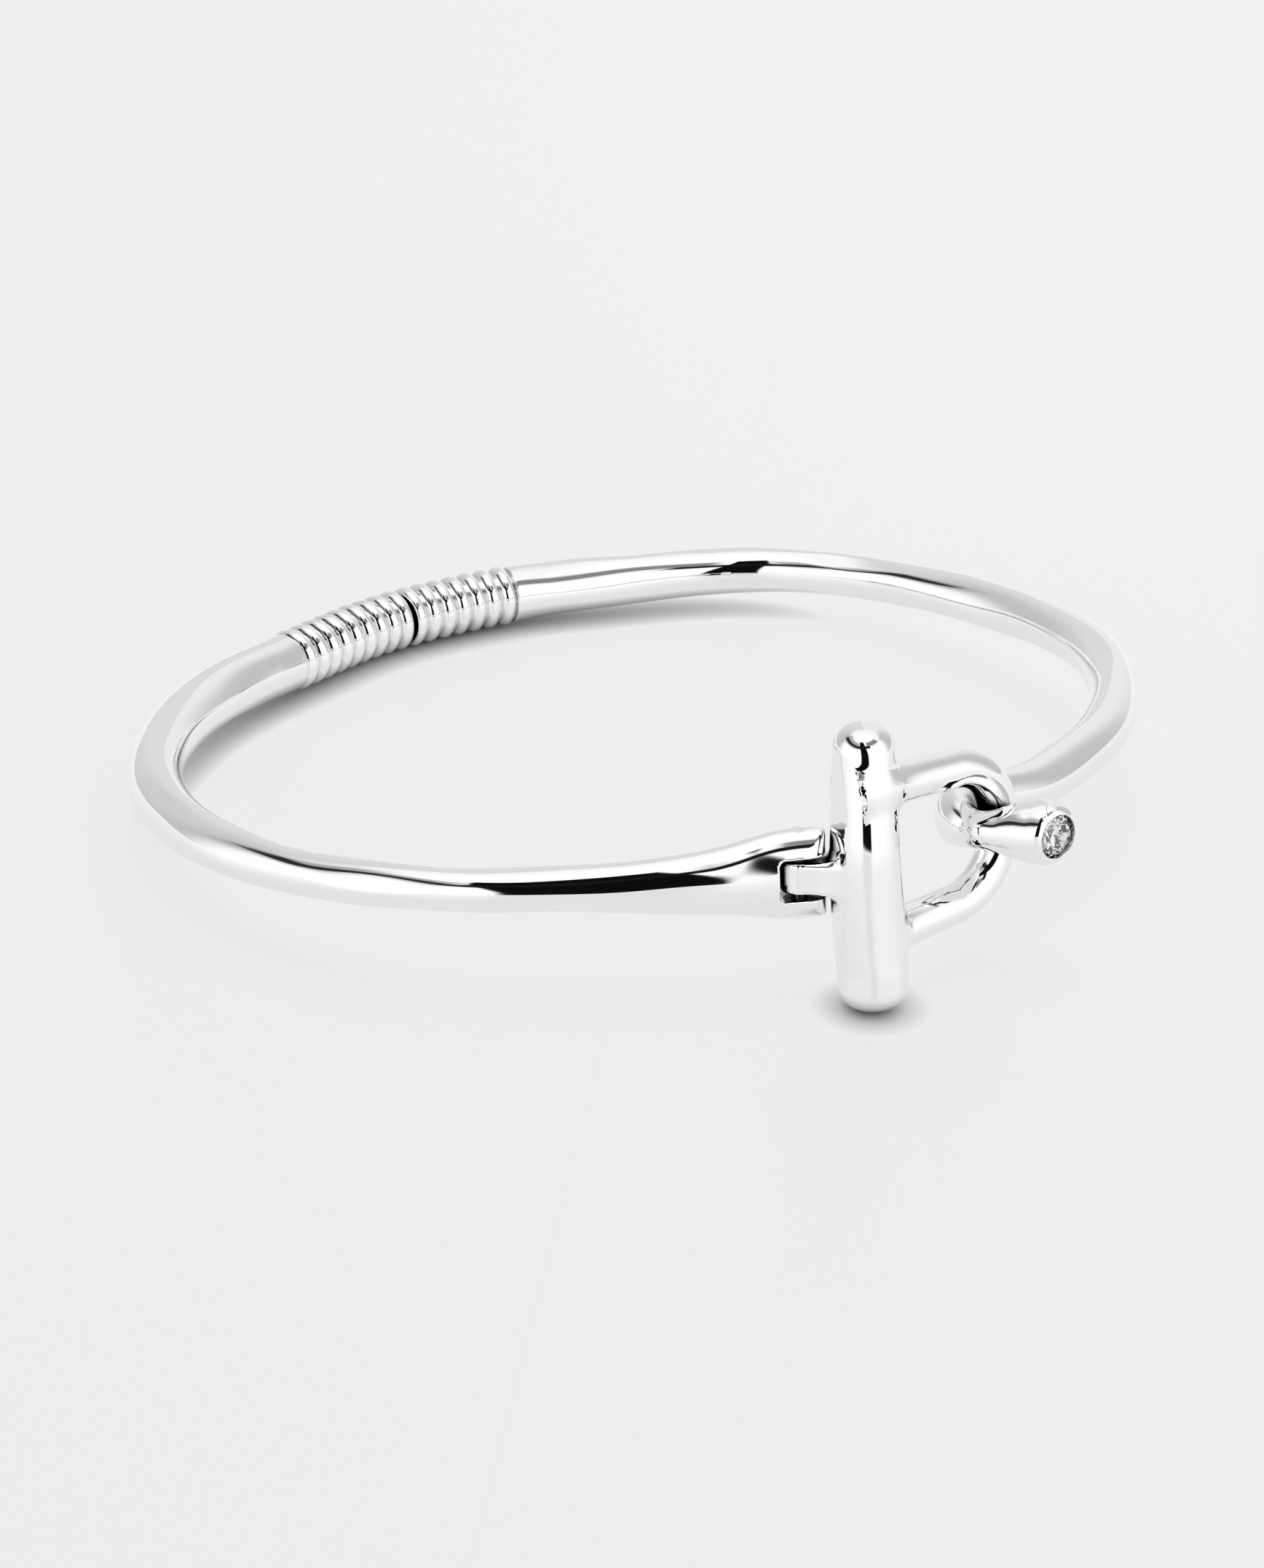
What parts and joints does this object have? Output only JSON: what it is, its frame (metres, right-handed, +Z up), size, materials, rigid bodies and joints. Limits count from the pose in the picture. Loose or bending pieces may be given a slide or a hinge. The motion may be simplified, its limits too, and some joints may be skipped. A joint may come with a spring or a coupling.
{
  "type": "bangle bracelet",
  "caption": "Oval hinged bangle of polished silver with a ribbed sprung joint at the back and a T-bar toggle whose D loop catches a hook set with a round clear stone.",
  "frame": {"origin": "centre of the base of the whole bracelet's box, on the surface it rests on", "axes": "+X across the bangle from the fork's half to the hook's half, +Y from the clasp to the sprung joint, +Z up. The bangle's plane leans 6 degrees about X, because it rests on the lower end of its T-bar and on its ribbed back"},
  "size_m": [0.0648, 0.0616, 0.0169],
  "materials": {
    "polished_silver": "high polish, hand finished",
    "spring_steel": "drawn wire",
    "clear_stone": "faceted and polished"
  },
  "bodies": {
    "left_half": {"left_arm": "polished_silver", "clevis_pin": "polished_silver", "left_spring_anchor": "spring_steel", "hinge_spring": "spring_steel"},
    "right_half": {"right_arm": "polished_silver", "right_spring_anchor": "spring_steel", "stone": "clear_stone"},
    "toggle": {"toggle": "polished_silver"}
  },
  "joints": [
    {"name": "spring_hinge", "type": "hinge", "parent": "left_half", "child": "right_half", "pos_m": [0.00021, 0.02877, 0.00202], "axis": [0, 0.1089, 0.9941], "range_deg": [-5, 0], "stiffness_Nm_per_rad": 0.4, "springref_deg": 5.73, "deforming": ["hinge_spring"]},
    {"name": "toggle_swing", "type": "hinge", "parent": "left_half", "child": "toggle", "pos_m": [-0.00938, -0.02328, 0.00772], "axis": [0, 0.1089, 0.9941], "range_deg": [-12, 0]}
  ],
  "couplings": [
    {"joint": "toggle_swing", "follows": "spring_hinge", "ratio": 2.4}
  ]
}
